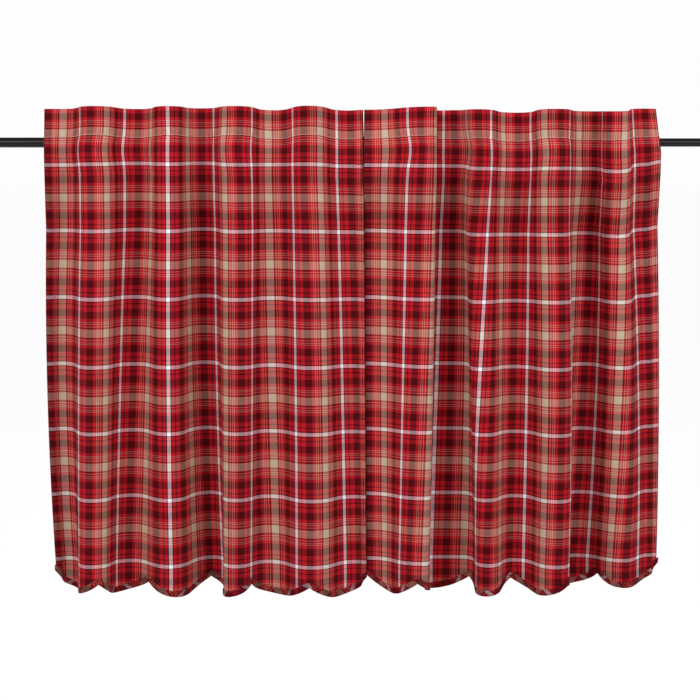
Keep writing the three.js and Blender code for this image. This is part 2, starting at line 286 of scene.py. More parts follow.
# %% Push the cloth sideways at the rod
GATHERS = {  # places across the cloth, and how far each is pushed to the right, in mm
    "left": ((0, 95, 215, 330, 460, 575, 660, 760, 914), (0, -3, -4, 0, 1, -4, 1, 0, 0)),
    "right": ((0, 105, 160, 230, 293, 350, 480, 560, 640, 780, 914),
              (0, 6, 0, -1, 7, 1, 1, 3, -1, -2, 0)),
}
GATHERED_AT = 78 * MM  # below the top edge
GATHERS_REACH = 32 * MM


def gathers(side, across, down):
    """Moves to the right, for a grid of places: rows go down and columns go across."""
    places, pushes = np.array(GATHERS[side]) * MM
    fading = np.exp(-(((down - GATHERED_AT) / GATHERS_REACH) ** 2))
    return np.interp(across, places, pushes) * fading[:, None]


print("the gathers are strongest", round(GATHERED_AT / MM), "mm below the top edge")

# %% [markdown]
# ## The hanging cloth as a lattice
# From here on everything sewn to the curtain has to lie on it: hems, binding, thread. So we store
# the surface once, as a fine lattice of points with the direction that faces the room, and ask it
# for any place by two numbers, across and down, as a tailor would.

# %% Hang both cloths
LATTICE_STEP = 3 * MM
LATTICE_LENGTH = LENGTH + 6 * MM
WITHIN = 0.001  # of a step: how far a place keeps inside the lattice's last line


def facing(points):
    """The direction out of the cloth's face at each point of a lattice."""
    out = np.cross(np.gradient(points, axis=0), np.gradient(points, axis=1))
    return out / np.linalg.norm(out, axis=2, keepdims=True)


def hang(side, seed):
    across = np.linspace(0, WIDTH, round(WIDTH / LATTICE_STEP) + 1)
    down = np.linspace(0, LATTICE_LENGTH, round(LATTICE_LENGTH / LATTICE_STEP) + 1)
    points = np.array([level_line(side, level, across) for level in down])
    points[..., 0] += gathers(side, across, down)
    points = points + facing(points) * creases(across, down, seed)[..., None]
    return {"side": side, "points": points, "out": facing(points)}


def on_cloth(cloth, across, down, lift=0.0):
    """Points at these places of the cloth, lifted out of its face."""
    last_row, last_column = (count - 1 for count in cloth["points"].shape[:2])
    r = np.clip(np.asarray(down) / LATTICE_LENGTH * last_row, 0, last_row - WITHIN)
    c = np.clip(np.asarray(across) / WIDTH * last_column, 0, last_column - WITHIN)
    i, j = r.astype(int), c.astype(int)
    fi, fj = (r - i)[..., None], (c - j)[..., None]

    def mixed(grid):
        upper = grid[i, j] * (1 - fj) + grid[i, j + 1] * fj
        lower = grid[i + 1, j] * (1 - fj) + grid[i + 1, j + 1] * fj
        return upper * (1 - fi) + lower * fi

    return mixed(cloth["points"]) + mixed(cloth["out"]) * np.asarray(lift)[..., None]


cloths = {"left": hang("left", 11), "right": hang("right", 23)}
for side, cloth in cloths.items():
    low, high = cloth["points"].reshape(-1, 3).min(0), cloth["points"].reshape(-1, 3).max(0)
    print(side, "cloth spans in mm", (low / MM).round(), "to", (high / MM).round())


# %% [markdown]
# ## The scalloped edge
# The bottom is cut in six equal arcs. Where two arcs meet they leave a small notch, and at the two
# corners of the curtain the cloth is cut a little higher, so that the corners don't sag below the
# rest.

# %% Where the scalloped edge runs
def hem_line(side, across):
    """How far down the edge lies, and how steeply it runs."""
    index = np.clip(np.floor(across / LOBE), 0, LOBES - 1)
    from_middle = across - (index + 0.5) * LOBE
    corner = ((index == 0) & (from_middle < 0)) | ((index == LOBES - 1) & (from_middle > 0))
    rise = np.where(corner, CORNER_RISE, LOBE_RISE)
    radius = ((LOBE / 2) ** 2 + rise**2) / (2 * rise)
    straight = np.sqrt(radius**2 - from_middle**2)
    longer = np.interp(across, (0, WIDTH), LONGER[side]) * MM
    return LENGTH + longer - (radius - straight), -from_middle / straight


edge_levels = hem_line("left", np.linspace(0, WIDTH, 300))[0] / MM
print("the left edge lies", round(edge_levels.min()), "to", round(edge_levels.max()), "mm down")

# %% [markdown]
# ## A mesh from rows of points
# Cloth is a grid: rows of points joined by four-sided faces. Besides its place, each point keeps
# where it lies on the flat cloth, as a UV map in metres. The weaving is drawn with those numbers
# later, so the pattern follows every fold. A Solidify modifier then gives the sheet its thickness
# and closes its edges.

# %% Turn a grid into a sheet of cloth
def new_piece(name, vertices, faces):
    """A smooth piece in the scene, and its mesh."""
    mesh = bpy.data.meshes.new(name)
    mesh.from_pydata(vertices, [], faces)
    mesh.polygons.foreach_set("use_smooth", np.ones(len(faces), bool))
    piece = bpy.data.objects.new(name, mesh)
    bpy.context.scene.collection.objects.link(piece)
    return piece, mesh


def sheet_mesh(name, points, flat, thickness):
    """points and flat are grids with a place, and a place on the flat cloth, for each point."""
    rows, columns = points.shape[:2]
    corner = np.arange(rows * columns).reshape(rows, columns)
    around = [corner[:-1, :-1], corner[1:, :-1], corner[1:, 1:], corner[:-1, 1:]]
    faces = np.stack(around, -1).reshape(-1, 4)
    piece, mesh = new_piece(name, points.reshape(-1, 3).tolist(), faces.tolist())
    layer = mesh.uv_layers.new(name="flat_cloth")
    layer.data.foreach_set("uv", flat.reshape(-1, 2)[faces.ravel()].astype(np.float32).ravel())
    solid = piece.modifiers.new("thickness", "SOLIDIFY")
    solid.thickness = thickness
    solid.offset = 0
    return piece


# %% [markdown]
# ## The rod pocket
# The cloth is folded over at the top. Its back layer comes down to the upper stitches, passes
# behind the rod and ends turned under at the lower stitches. Seen from the side it runs straight
# to the rod, round it, and straight on, as a belt round a pulley does, and that is how we draw it.

# %% The back layer's way round the rod
LAYER = 1.1 * MM  # from the middle of one layer to the middle of the next
POCKET_EASE = 0.4 * MM


def touch_angle(y, z, radius, turn):
    """Where a straight line from a point touches the rod, as an angle round the rod."""
    angle = np.arctan2(z, y) + turn * np.arccos(np.minimum(radius / np.hypot(y, z), 1))
    return np.where(angle < -np.pi, angle + 2 * np.pi, angle)


def round_the_rod(cloth, across, share, behind, extra):
    """Points on the back layer, a share of the way from the upper stitches to the lower ones."""
    radius = ROD_RADIUS[cloth["side"]] + POCKET_EASE + CLOTH_THICKNESS / 2 + extra
    upper = on_cloth(cloth, across, np.full_like(across, UPPER_STITCHES), -behind)
    lower = on_cloth(cloth, across, np.full_like(across, LOWER_STITCHES), -behind)
    first = touch_angle(upper[:, 1], upper[:, 2], radius, -1)
    last = touch_angle(lower[:, 1], lower[:, 2], radius, 1)
    x_rod = np.interp(across, (0, WIDTH), np.array(ON_ROD[cloth["side"]]) * MM)

    def on_rod(angle):
        return np.stack([x_rod, radius * np.cos(angle), radius * np.sin(angle)], -1)

    to_rod = np.linalg.norm((on_rod(first) - upper)[:, 1:], axis=1)
    on_arc = radius * (first - last)
    from_rod = np.linalg.norm((lower - on_rod(last))[:, 1:], axis=1)
    gone = share * (to_rod + on_arc + from_rod)
    a = np.clip(gone / to_rod, 0, 1)[:, None]
    b = np.clip((gone - to_rod) / on_arc, 0, 1)
    c = np.clip((gone - to_rod - on_arc) / from_rod, 0, 1)[:, None]
    arc = on_rod(first + (last - first) * b)
    return np.where(a < 1, upper + (arc - upper) * a, arc + (lower - arc) * c)


over_rod = round_the_rod(cloths["left"], np.array([WIDTH / 2]), 0.5, LAYER, 0)[0]
print("halfway, the back layer lies", round(over_rod[1] / MM, 1), "mm behind the rod's axis")

# %% [markdown]
# ## The two cloths
# Each curtain is one piece of cloth, so it becomes one grid. Its rows start at the turned-under
# edge of the pocket's back layer, climb behind the rod to the top edge, and come down the front to
# the scallops. Its columns start and end in the narrow side hems, folded to the back. The numbers
# below zero, or past the width, stand for cloth that is folded over.

# %% Rows, and the layers that lie behind them
FRONT_STEP = 5.1 * MM
FIRST_EVEN_ROW = 9 * MM
NEAR_THE_TOP = (1.5, 4)  # extra rows in mm below the top edge
NEAR_STITCHES = (-5, -2.2, 0, 2.2, 5)  # extra rows in mm beside each row of stitches
ROWS_APART = 2.4  # an even row keeps this far from the extra ones, in mm
TAKEN_UP = 3.5 * MM


def rows_down():
    """Levels of the front, closer together at the fold of the heading and at the stitches."""
    near = list(NEAR_THE_TOP)
    for line in (UPPER_STITCHES, LOWER_STITCHES):
        near += [line / MM + step for step in NEAR_STITCHES]
    even = np.arange(FIRST_EVEN_ROW, SCALLOPS_START, FRONT_STEP) / MM
    apart = [level for level in even if min(abs(level - n) for n in near) > ROWS_APART]
    return np.array(sorted([0, *near, *apart])) * MM


def fold_sides(across):
    """The place on the cloth that a folded-over column lies behind."""
    return np.where(across < 0, -across, np.where(across > WIDTH, 2 * WIDTH - across, across))


def front_row(cloth, across, share_or_level, to_hem=False):
    place = fold_sides(across)
    start = rows_down()[-1]
    down = np.full_like(place, share_or_level)
    if to_hem:
        down = start + (hem_line(cloth["side"], place)[0] - start) * share_or_level
    folded = (across < 0) | (across > WIDTH)
    return on_cloth(cloth, place, down, np.where(folded, -LAYER, 0.0)), down


def back_layers(across):
    """How far the back layer lies behind the front: further where the side hems are between."""
    place = fold_sides(across)
    from_side = np.minimum(place, WIDTH - place)
    over_hem = 1 - soft_step(from_side, SIDE_HEM, 1.4 * SIDE_HEM)
    behind = LAYER * (1 + 2 * over_hem)
    folded = (across < 0) | (across > WIDTH)
    return np.where(folded, behind - LAYER, behind)


def on_cut_cloth(down):
    """The level on the cut cloth, of which the gathered heading takes up a little."""
    taken = TAKEN_UP * soft_step(np.abs(down), 0, UPPER_STITCHES)
    return down + np.sign(down) * taken - TAKEN_UP


print("rows from the top edge to the scallops:", len(rows_down()))

# %% [markdown]
# ## Lay the rows down
# Now the rows follow each other in the order in which a finger would trace the cloth from its
# turned-under edge: up the pocket's back, up behind the heading, and down the whole face.

# %% Sew one cloth
COLUMNS = 33 * LOBES
HEM_ROWS = 9
HEM_COLUMNS = (25, 16, 8, 1.5)  # how far in from the side, in mm, on the folded side hem
POCKET_ROWS = 26
TURNED_EDGE = 2.5 * MM  # the raw edge, turned under below the lower stitches
HEADING_FOLD = (-1 * MM, 3 * MM)  # the levels between which the back layer leaves the top fold


def sew_cloth(side):
    cloth = cloths[side]
    hems = np.array(HEM_COLUMNS) * MM
    across = np.concatenate([-hems, np.linspace(0, WIDTH, COLUMNS + 1), WIDTH + hems[::-1]])
    place, behind = fold_sides(across), back_layers(across)
    points, downs = [], []

    def add(row, down):
        points.append(row)
        downs.append(np.broadcast_to(down, place.shape))

    lowest = LOWER_STITCHES + TURNED_EDGE
    add(on_cloth(cloth, place, np.full_like(place, lowest), -behind), -lowest)
    for share in np.linspace(1, 0, POCKET_ROWS):
        row = round_the_rod(cloth, place, share, behind, behind - LAYER)
        add(row, -UPPER_STITCHES - share * (LOWER_STITCHES - UPPER_STITCHES))
    levels = rows_down()
    for level in levels[(levels < UPPER_STITCHES) & (levels > 0)][::-1]:
        turned = behind * soft_step(level, *HEADING_FOLD)
        add(on_cloth(cloth, place, np.full_like(place, level), -turned), -level)
    for level in levels:
        add(*front_row(cloth, across, level))
    for share in np.linspace(0, 1, HEM_ROWS + 1)[1:]:
        add(*front_row(cloth, across, share, to_hem=True))
    downs = np.array(downs)
    flat = np.stack([np.broadcast_to(across, downs.shape), on_cut_cloth(downs)], -1)
    piece = sheet_mesh(f"{side}_cloth", np.array(points), flat, CLOTH_THICKNESS)
    print(piece.name, "has", len(downs), "rows and", len(across), "columns")
    return piece


panels = {side: sew_cloth(side) for side in cloths}

# %% [markdown]
# ## The bias binding
# The scalloped edge is finished with a narrow strip of the same cloth, cut at 45 degrees so that
# it stretches round the curves, and folded over the edge. We sweep the strip's cross-section along
# the edge. Its UV map is turned by 45 degrees, which makes the stripes run across it slantwise, as
# on the real strip.

# %% Fold a strip over the scalloped edge
BINDING_WIDTH = 10 * MM
BINDING_SECTIONS = 72 * LOBES
BINDING_THICKNESS = 0.7 * MM
NOTCH_ROUNDING = 7 * MM
RIPPLE = 0.22 * MM  # a strip sewn round curves never lies quite flat
RIPPLE_LENGTHS = (11 * MM, 83 * MM)
RIPPLED = (1, 9.5)  # from the edge inwards, in mm
# The cross-section in mm: how far in from the edge, and how far out of the cloth's middle.
HALF_SECTION = [(-0.5, 0.85), (1, 1.25), (3.5, 1.45), (6.5, 1.5), (9.2, 1.4), (10, 1.05)]
BINDING_SECTION = [*((inward, -out) for inward, out in HALF_SECTION[::-1]), (-1, 0), *HALF_SECTION]
BINDING_ENDS = {"left": (2.5, 1.5), "right": (1.5, 4.5)}  # mm past the cloth at its two sides
BIAS_SHIFT = {"left": (0.03, 0.075), "right": (0.055, 0.02)}  # where the strip was cut


def edge_frame(side, across):
    """The edge, and the direction into the cloth, as places on the flat cloth."""
    down, slope = hem_line(side, across)
    from_notch = np.abs((across + LOBE / 2) % LOBE - LOBE / 2)
    slope = slope * soft_step(from_notch, 0, NOTCH_ROUNDING)
    size = np.hypot(slope, 1)
    return down, slope / size, -1 / size


def bind_edge(side):
    cloth = cloths[side]
    start, end = BINDING_ENDS[side]
    across = np.linspace(0, WIDTH, BINDING_SECTIONS + 1)
    down, inward_across, inward_down = edge_frame(side, across)
    along = np.concatenate([[0], np.cumsum(np.hypot(np.diff(across), np.diff(down)))])
    ripple = RIPPLE * np.prod([np.sin(2 * np.pi * along / length) for length in RIPPLE_LENGTHS], 0)
    points, flat = [], []
    steps = [math.dist(a, b) for a, b in zip(BINDING_SECTION, BINDING_SECTION[1:])]
    for index, (inward, out) in enumerate(BINDING_SECTION):
        unrolled = sum(steps[:index]) - sum(steps) / 2
        lift = out * MM + np.sign(out) * ripple * (RIPPLED[0] < inward < RIPPLED[1])
        row = on_cloth(
            cloth, across + inward_across * inward * MM, down + inward_down * inward * MM, lift,
        )
        row[0] -= (row[1] - row[0]) / np.linalg.norm(row[1] - row[0]) * start * MM
        row[-1] += (row[-1] - row[-2]) / np.linalg.norm(row[-1] - row[-2]) * end * MM
        points.append(row)
        a = (along + unrolled * MM) / math.sqrt(2) + BIAS_SHIFT[side][0]
        b = (along - unrolled * MM) / math.sqrt(2) + BIAS_SHIFT[side][1]
        flat.append(np.stack([a, b], -1))
    piece = sheet_mesh(f"{side}_bias_binding", np.array(points), np.array(flat), BINDING_THICKNESS)
    print(piece.name, "is", round(along[-1], 3), "m of strip")
    return piece


bindings = {side: bind_edge(side) for side in cloths}

# %% [markdown]
# ## The sewing thread
# Rows of stitches hold the pocket, the side hems and the binding. A painted dotted line would
# vanish in a close view, so every stitch is a tiny bent tube whose ends dive into the cloth. One
# function walks along a path on the flat cloth and lays the tubes. All stitches of a curtain are
# one mesh, because thousands of separate objects would be slow.

# %% Lay stitches along a path
STITCH_PITCH = 2.9 * MM
STITCH_LENGTH = 2.3 * MM
THREAD_RADII = (0.38 * MM, 0.27 * MM)  # of the pale thread and of the dark one
THREAD_SIDES = 5
STITCH_LIFT = 0.6  # of the thread's radius
# Along each stitch: shares of its length, of the thread's radius and of the lift.
STITCH_RINGS = ((0, 0.5, -0.6), (0.16, 1, 0.6), (0.5, 1.05, 1), (0.84, 1, 0.6), (1, 0.5, -0.6))


def lay_stitches(cloth, path_across, path_down, lift, thread_radius):
    """Vertices and faces of one row. lift is where the cloth's surface lies, minus at the back."""
    length = np.concatenate([[0], np.cumsum(np.hypot(np.diff(path_across), np.diff(path_down)))])
    starts = np.arange(0, length[-1] - STITCH_LENGTH, STITCH_PITCH)
    outwards = math.copysign(STITCH_LIFT, lift) * thread_radius
    rings = []
    for share, thick, high in STITCH_RINGS:
        at = starts + share * STITCH_LENGTH
        across = np.interp(at, length, path_across)
        down = np.interp(at, length, path_down)
        middle = on_cloth(cloth, across, down, np.full_like(at, lift + high * outwards))
        out = on_cloth(cloth, across, down, np.full_like(at, 1.0)) - on_cloth(cloth, across, down)
        rings.append((middle, out, thick * thread_radius))
    forward = rings[-1][0] - rings[0][0]
    forward /= np.linalg.norm(forward, axis=1, keepdims=True)
    vertices = []
    for middle, out, radius in rings:
        sideways = np.cross(forward, out)
        for k in range(THREAD_SIDES):
            angle = 2 * math.pi * k / THREAD_SIDES
            vertices.append(middle + radius * (out * math.cos(angle) + sideways * math.sin(angle)))
    vertices = np.stack(vertices, 1)
    faces = []
    for ring in range(len(STITCH_RINGS) - 1):
        for k in range(THREAD_SIDES):
            a, b = ring * THREAD_SIDES + k, ring * THREAD_SIDES + (k + 1) % THREAD_SIDES
            faces.append((a, b, b + THREAD_SIDES, a + THREAD_SIDES))
    ends = [tuple(range(THREAD_SIDES))[::-1]]
    ends.append(tuple(range(vertices.shape[1] - THREAD_SIDES, vertices.shape[1])))
    return vertices, faces + ends


print("stitches in 100 mm of seam:", round(100 * MM / STITCH_PITCH))

# %% [markdown]
# ## Every seam of a curtain
# The heading and the pocket have a row each, the side hems one row each near their inner edge, and
# the binding one row near its own. Thread shows on both faces of the cloth, so each row is laid
# twice, once in front and once behind all the layers that it holds together.

# %% Sew every seam
FRONT_LIFT = CLOTH_THICKNESS / 2
BEHIND_TWO = -(LAYER + CLOTH_THICKNESS / 2)
BINDING_LIFT = 1.45 * MM + BINDING_THICKNESS / 2
SIDE_SEAM_START = 4 * MM  # below the pocket
SIDE_SEAM_END = 12 * MM  # above the scalloped edge
SIDE_SEAM_INSET = 3 * MM
BINDING_SEAM_INSET = 2.2 * MM


def seams(cloth):
    """Each row's path and lift, and its thread: 0 for the pale one and 1 for the dark one."""
    side = cloth["side"]
    level = np.linspace(1 * MM, WIDTH - 1 * MM, 400)
    for line, colour in ((UPPER_STITCHES, 0), (LOWER_STITCHES, 1)):
        yield level, np.full_like(level, line), FRONT_LIFT, colour
        yield level, np.full_like(level, line), BEHIND_TWO, colour
    bottom = hem_line(side, np.array([SIDE_HEM]))[0][0] - SIDE_SEAM_END
    upright = np.linspace(LOWER_STITCHES + SIDE_SEAM_START, bottom, 400)
    inset = SIDE_HEM - SIDE_SEAM_INSET
    for place in (inset, WIDTH - inset):
        yield np.full_like(upright, place), upright, FRONT_LIFT, 1
        yield np.full_like(upright, place), upright, BEHIND_TWO, 1
    edge = np.linspace(0, WIDTH, 1200)
    down, inward_across, inward_down = edge_frame(side, edge)
    inset = BINDING_WIDTH - BINDING_SEAM_INSET
    for lift in (BINDING_LIFT, -BINDING_LIFT):
        yield edge + inward_across * inset, down + inward_down * inset, lift, 1


def sew_seams(side):
    cloth = cloths[side]
    vertices, faces, colours, count = [], [], [], 0
    for across, down, lift, colour in seams(cloth):
        rows, pattern = lay_stitches(cloth, across, down, lift, THREAD_RADII[colour])
        colours += [colour] * (len(rows) * len(pattern))
        for stitch in rows:
            faces += [tuple(count + corner for corner in face) for face in pattern]
            count += len(stitch)
        vertices.append(rows.reshape(-1, 3))
    piece, mesh = new_piece(f"{side}_thread", np.concatenate(vertices).tolist(), faces)
    mesh.polygons.foreach_set("material_index", colours)
    print(piece.name, "has", count // (len(STITCH_RINGS) * THREAD_SIDES), "stitches")
    return piece


threads = {side: sew_seams(side) for side in cloths}

# %% [markdown]
# ## The rod
# A cafe rod is two thin painted steel tubes, one sliding inside the other, with a plastic cap in
# each outer end. All four are turned shapes, so one function spins a profile round the rod's axis.
# A cylinder with a bevel would do for a tube, but not for a cap.

# %% Spin a profile round the rod's axis
ROD_SIDES = 72
SHARP_ANGLE = math.radians(40)


def spun(name, profile):
    """Spins a closed profile of (distance along x, radius) points round the x axis."""
    angles = [2 * math.pi * k / ROD_SIDES for k in range(ROD_SIDES)]
    vertices = [(x, r * math.cos(a), r * math.sin(a)) for x, r in profile for a in angles]
    faces = []
    for i in range(len(profile)):
        ring, following = i * ROD_SIDES, (i + 1) % len(profile) * ROD_SIDES
        for k in range(ROD_SIDES):
            after = (k + 1) % ROD_SIDES
            faces.append((ring + k, ring + after, following + after, following + k))
    piece, mesh = new_piece(name, vertices, faces)
    shape = bmesh.new()
    shape.from_mesh(mesh)
    bmesh.ops.remove_doubles(shape, verts=shape.verts, dist=0.01 * MM)
    bmesh.ops.recalc_face_normals(shape, faces=shape.faces)
    shape.to_mesh(mesh)
    shape.free()
    mesh.set_sharp_from_angle(angle=SHARP_ANGLE)
    return piece


def quarter(x, radius, size, start, steps=6):
    """A quarter circle round (x, radius), turning clockwise from the start angle in degrees."""
    angles = [math.radians(start - 90 * k / (steps - 1)) for k in range(steps)]
    return [(x + size * math.cos(a), radius + size * math.sin(a)) for a in angles]


print("every turned piece has", ROD_SIDES, "sides")

# %% [markdown]
# ## Tubes and caps
# The tubes' edges are rolled in a little, so that they don't catch the cloth. The caps have soft
# rims and a shallow dimple, as moulded ones do. Where they sit and how thick they are comes from
# the plain model.

# %% Turn the tubes and caps
TUBE_WALL = 1.2 * MM
ROLLED_EDGE = 0.5 * MM
CAP_ROUNDING = 2.5 * MM
CAP_GAP = 0.3 * MM  # between a cap and its tube
CAP_BEVEL = (0.5 * MM, 0.4 * MM)  # along the rod and out from it
DIMPLE = (0.45, 0.4)  # the rim and the floor of the dimple in a cap, as shares of its radius
DIMPLE_DEPTH = 0.6 * MM


def rod_tube(name, node):
    low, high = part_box(node)
    outer, edge = radius_of(node), ROLLED_EDGE
    bore = outer - TUBE_WALL
    left_edge = quarter(low.x + edge, outer - edge, edge, 180)
    right_edge = quarter(high.x - edge, outer - edge, edge, 90)
    return spun(name, [(low.x, bore), *left_edge, *right_edge, (high.x, bore)])


def rod_cap(name, node, bore, tube_end, way):
    """way is -1 for a cap whose flat end looks along -x, and 1 for the other one."""
    low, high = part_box(node)
    end, plug_end = (low.x, high.x) if way < 0 else (high.x, low.x)
    outer, rim = radius_of(node), CAP_ROUNDING
    inner_face = tube_end + way * CAP_GAP
    dimple_floor = end - way * DIMPLE_DEPTH
    profile = [(plug_end, 0), (plug_end, bore - CAP_GAP), (inner_face, bore - CAP_GAP)]
    profile += [(inner_face, outer - CAP_BEVEL[1]), (inner_face + way * CAP_BEVEL[0], outer)]
    profile += [(end + way * (x - rim), radius) for x, radius in quarter(0, outer - rim, rim, 90)]
    profile += [(end, outer * DIMPLE[0]), (dimple_floor, outer * DIMPLE[1]), (dimple_floor, 0)]
    return spun(name, profile)


left_end, right_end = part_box("rod_outer_tube")[0].x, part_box("rod_inner_tube")[1].x
bores = {side: radius - TUBE_WALL for side, radius in ROD_RADIUS.items()}
rod = {
    "rod_outer_tube": rod_tube("wide_tube", "rod_outer_tube"),
    "rod_inner_tube": rod_tube("narrow_tube", "rod_inner_tube"),
    "rod_cap_left": rod_cap("left_end_cap", "rod_cap_left", bores["left"], left_end, -1),
    "rod_cap_right": rod_cap("right_end_cap", "rod_cap_right", bores["right"], right_end, 1),
}
print("the longest tube is", round(max(piece.dimensions.x for piece in rod.values()), 3), "m long")

# %% [markdown]
# ## Helpers for materials
# A material is a small graph: each box takes numbers or colours in and gives others out. Made by
# hand in the editor they are quick, but in a script they get long, so a few helpers keep them
# readable. They add a box and feed it its inputs, do a sum, mix two colours and raise a surface.

# %% Helpers for material graphs
def feed(tree, made, inputs):
    """Gives a box its inputs, each a number, a colour, or another box's output."""
    for name, value in inputs.items():
        if isinstance(value, bpy.types.NodeSocket):
            tree.links.new(value, made.inputs[name])
        else:
            made.inputs[name].default_value = value


def box(tree, kind, inputs=None, **settings):
    """Adds a box of this kind."""
    made = tree.nodes.new(kind)
    for name, value in settings.items():
        setattr(made, name, value)
    feed(tree, made, inputs or {})
    return made


def sum_of(tree, operation, *values):
    return box(tree, "ShaderNodeMath", dict(enumerate(values)), operation=operation).outputs[0]


def mix(tree, share, first, second):
    """The colour between two others, a share of the way to the second."""
    inputs = {"Factor": share, 6: first, 7: second}
    return box(tree, "ShaderNodeMix", inputs, data_type="RGBA").outputs[2]


def add_relief(tree, surface, height, strength, distance):
    inputs = {"Height": height, "Strength": strength, "Distance": distance}
    feed(tree, surface, {"Normal": box(tree, "ShaderNodeBump", inputs).outputs[0]})


def new_material(name):
    made = bpy.data.materials.new(name)
    made.use_nodes = True
    tree = made.node_tree
    tree.nodes.clear()
    surface = tree.nodes.new("ShaderNodeBsdfPrincipled")
    end = tree.nodes.new("ShaderNodeOutputMaterial")
    tree.links.new(surface.outputs[0], end.inputs["Surface"])
    return made, tree, surface


def seen(red, green, blue):
    """A colour as a screen shows it, turned into the linear light that Blender counts in."""
    shown = (red, green, blue)
    return (*(c / 12.92 if c <= 0.04045 else ((c + 0.055) / 1.055) ** 2.4 for c in shown), 1.0)


print("middle grey in linear light:", round(seen(0.5, 0.5, 0.5)[0], 3))

# %% [markdown]
# ## The plaid's sett
# A plaid is not printed. Its warp and weft yarns are dyed, and a chart called the sett says how
# wide each colour runs before the order turns back on itself. Where a red warp crosses a tan weft
# the eye sees the mean of both. So the chart is written once, as widths from the middle of the
# white stripe to the middle of the tan one, and both directions read it. The colours are kept as a
# screen shows them, because the eye's mean of two yarns lies halfway on that scale.

# %% Chart the sett
YARNS = {
    "white": (1.0, 0.98, 1.0),
    "red": (0.735, 0.12, 0.165),
    "maroon": (0.295, 0.055, 0.075),
    "black": (0.12, 0.03, 0.05),
    "tan": (0.775, 0.70, 0.60),
}
SETT = [  # colour and width in mm, from the middle of the white stripe
    ("white", 3.3), ("black", 1.9), ("red", 5.9), ("maroon", 2.3), ("red", 8.4), ("maroon", 13.3),
    ("red", 6.0), ("tan", 0.9), ("red", 2.8), ("tan", 0.9), ("red", 4.0), ("tan", 0.9),
    ("red", 1.7), ("maroon", 1.5), ("red", 1.2), ("tan", 7.5),
]
WARP_REPEAT = 126 * MM
WEFT_REPEAT = 125 * MM
WARP_SHIFT = 0.17  # of a repeat: where the left side hem cuts the pattern
FIRST_WHITE_WEFT = 107.5 * MM  # below the top edge


def sett_colour(tree, place, repeat, shift):
    """The yarn's colour at a place across the yarns of one direction."""
    turns = sum_of(tree, "MULTIPLY_ADD", place, 1 / repeat, shift)
    mirrored = sum_of(tree, "PINGPONG", turns, 0.5)
    ramp = box(tree, "ShaderNodeValToRGB", {"Fac": mirrored})
    stops = ramp.color_ramp
    stops.interpolation = "CONSTANT"
    total = sum(width for _, width in SETT)
    start = 0
    for i, (colour, width) in enumerate(SETT):
        stop = stops.elements[0] if i == 0 else stops.elements.new(start / total / 2)
        stop.color = YARNS[colour] + (1.0,)
        start += width
    stops.elements.remove(stops.elements[-1])
    return ramp.outputs["Color"]


print("half a repeat of the sett is", round(sum(width for _, width in SETT), 1), "mm")

# %% [markdown]
# ## Plain-woven cotton
# Close up, cotton is a net of round yarns that pass over and under each other, each a little
# uneven. A picture of cloth would blur or repeat. Two sine waves, one for each direction, say which
# yarn is on top at every spot, and they also raise the yarns a little. Stretched noise makes some
# yarns paler than others. Cotton is matt with a faint fuzz, and that is what sheen gives. The
# binding turns away from the light at its rounded edge, so its colours get painted shade: a darker,
# richer mix.

# %% Weave the cloth
YARN_PITCH = 0.56 * MM
YARN_HEIGHT = 0.12 * MM
YARN_UNEVENNESS = 0.05
TONE_WIDTH = 1.6 * MM  # how far one tone runs across the yarns, and along one
TONE_LENGTH = 60 * MM
ON_TOP = 0.28  # how much more the upper yarn of a crossing shows than the lower one
WARP_SHARE = 0.535  # of what is seen, as the tighter warp bends more than the weft
SCREEN_GAMMA = 2.2
PAINTED_SHADE_RICHNESS = 0.1  # how much richer in colour the painted shade makes a darker mix
FUZZ = 0.02


def uneven_yarn(tree, across_yarns, along_yarns):
    """A factor near 1 that changes from yarn to yarn and slowly along each of them."""
    place = box(tree, "ShaderNodeCombineXYZ", {
        "X": sum_of(tree, "MULTIPLY", across_yarns, 1 / TONE_WIDTH),
        "Y": sum_of(tree, "MULTIPLY", along_yarns, 1 / TONE_LENGTH),
    }).outputs[0]
    noise = box(tree, "ShaderNodeTexNoise", {"Vector": place, "Scale": 1.0, "Detail": 2.0},
                noise_dimensions="2D").outputs["Fac"]
    return sum_of(tree, "MULTIPLY_ADD", noise, 2 * YARN_UNEVENNESS, 1 - YARN_UNEVENNESS)


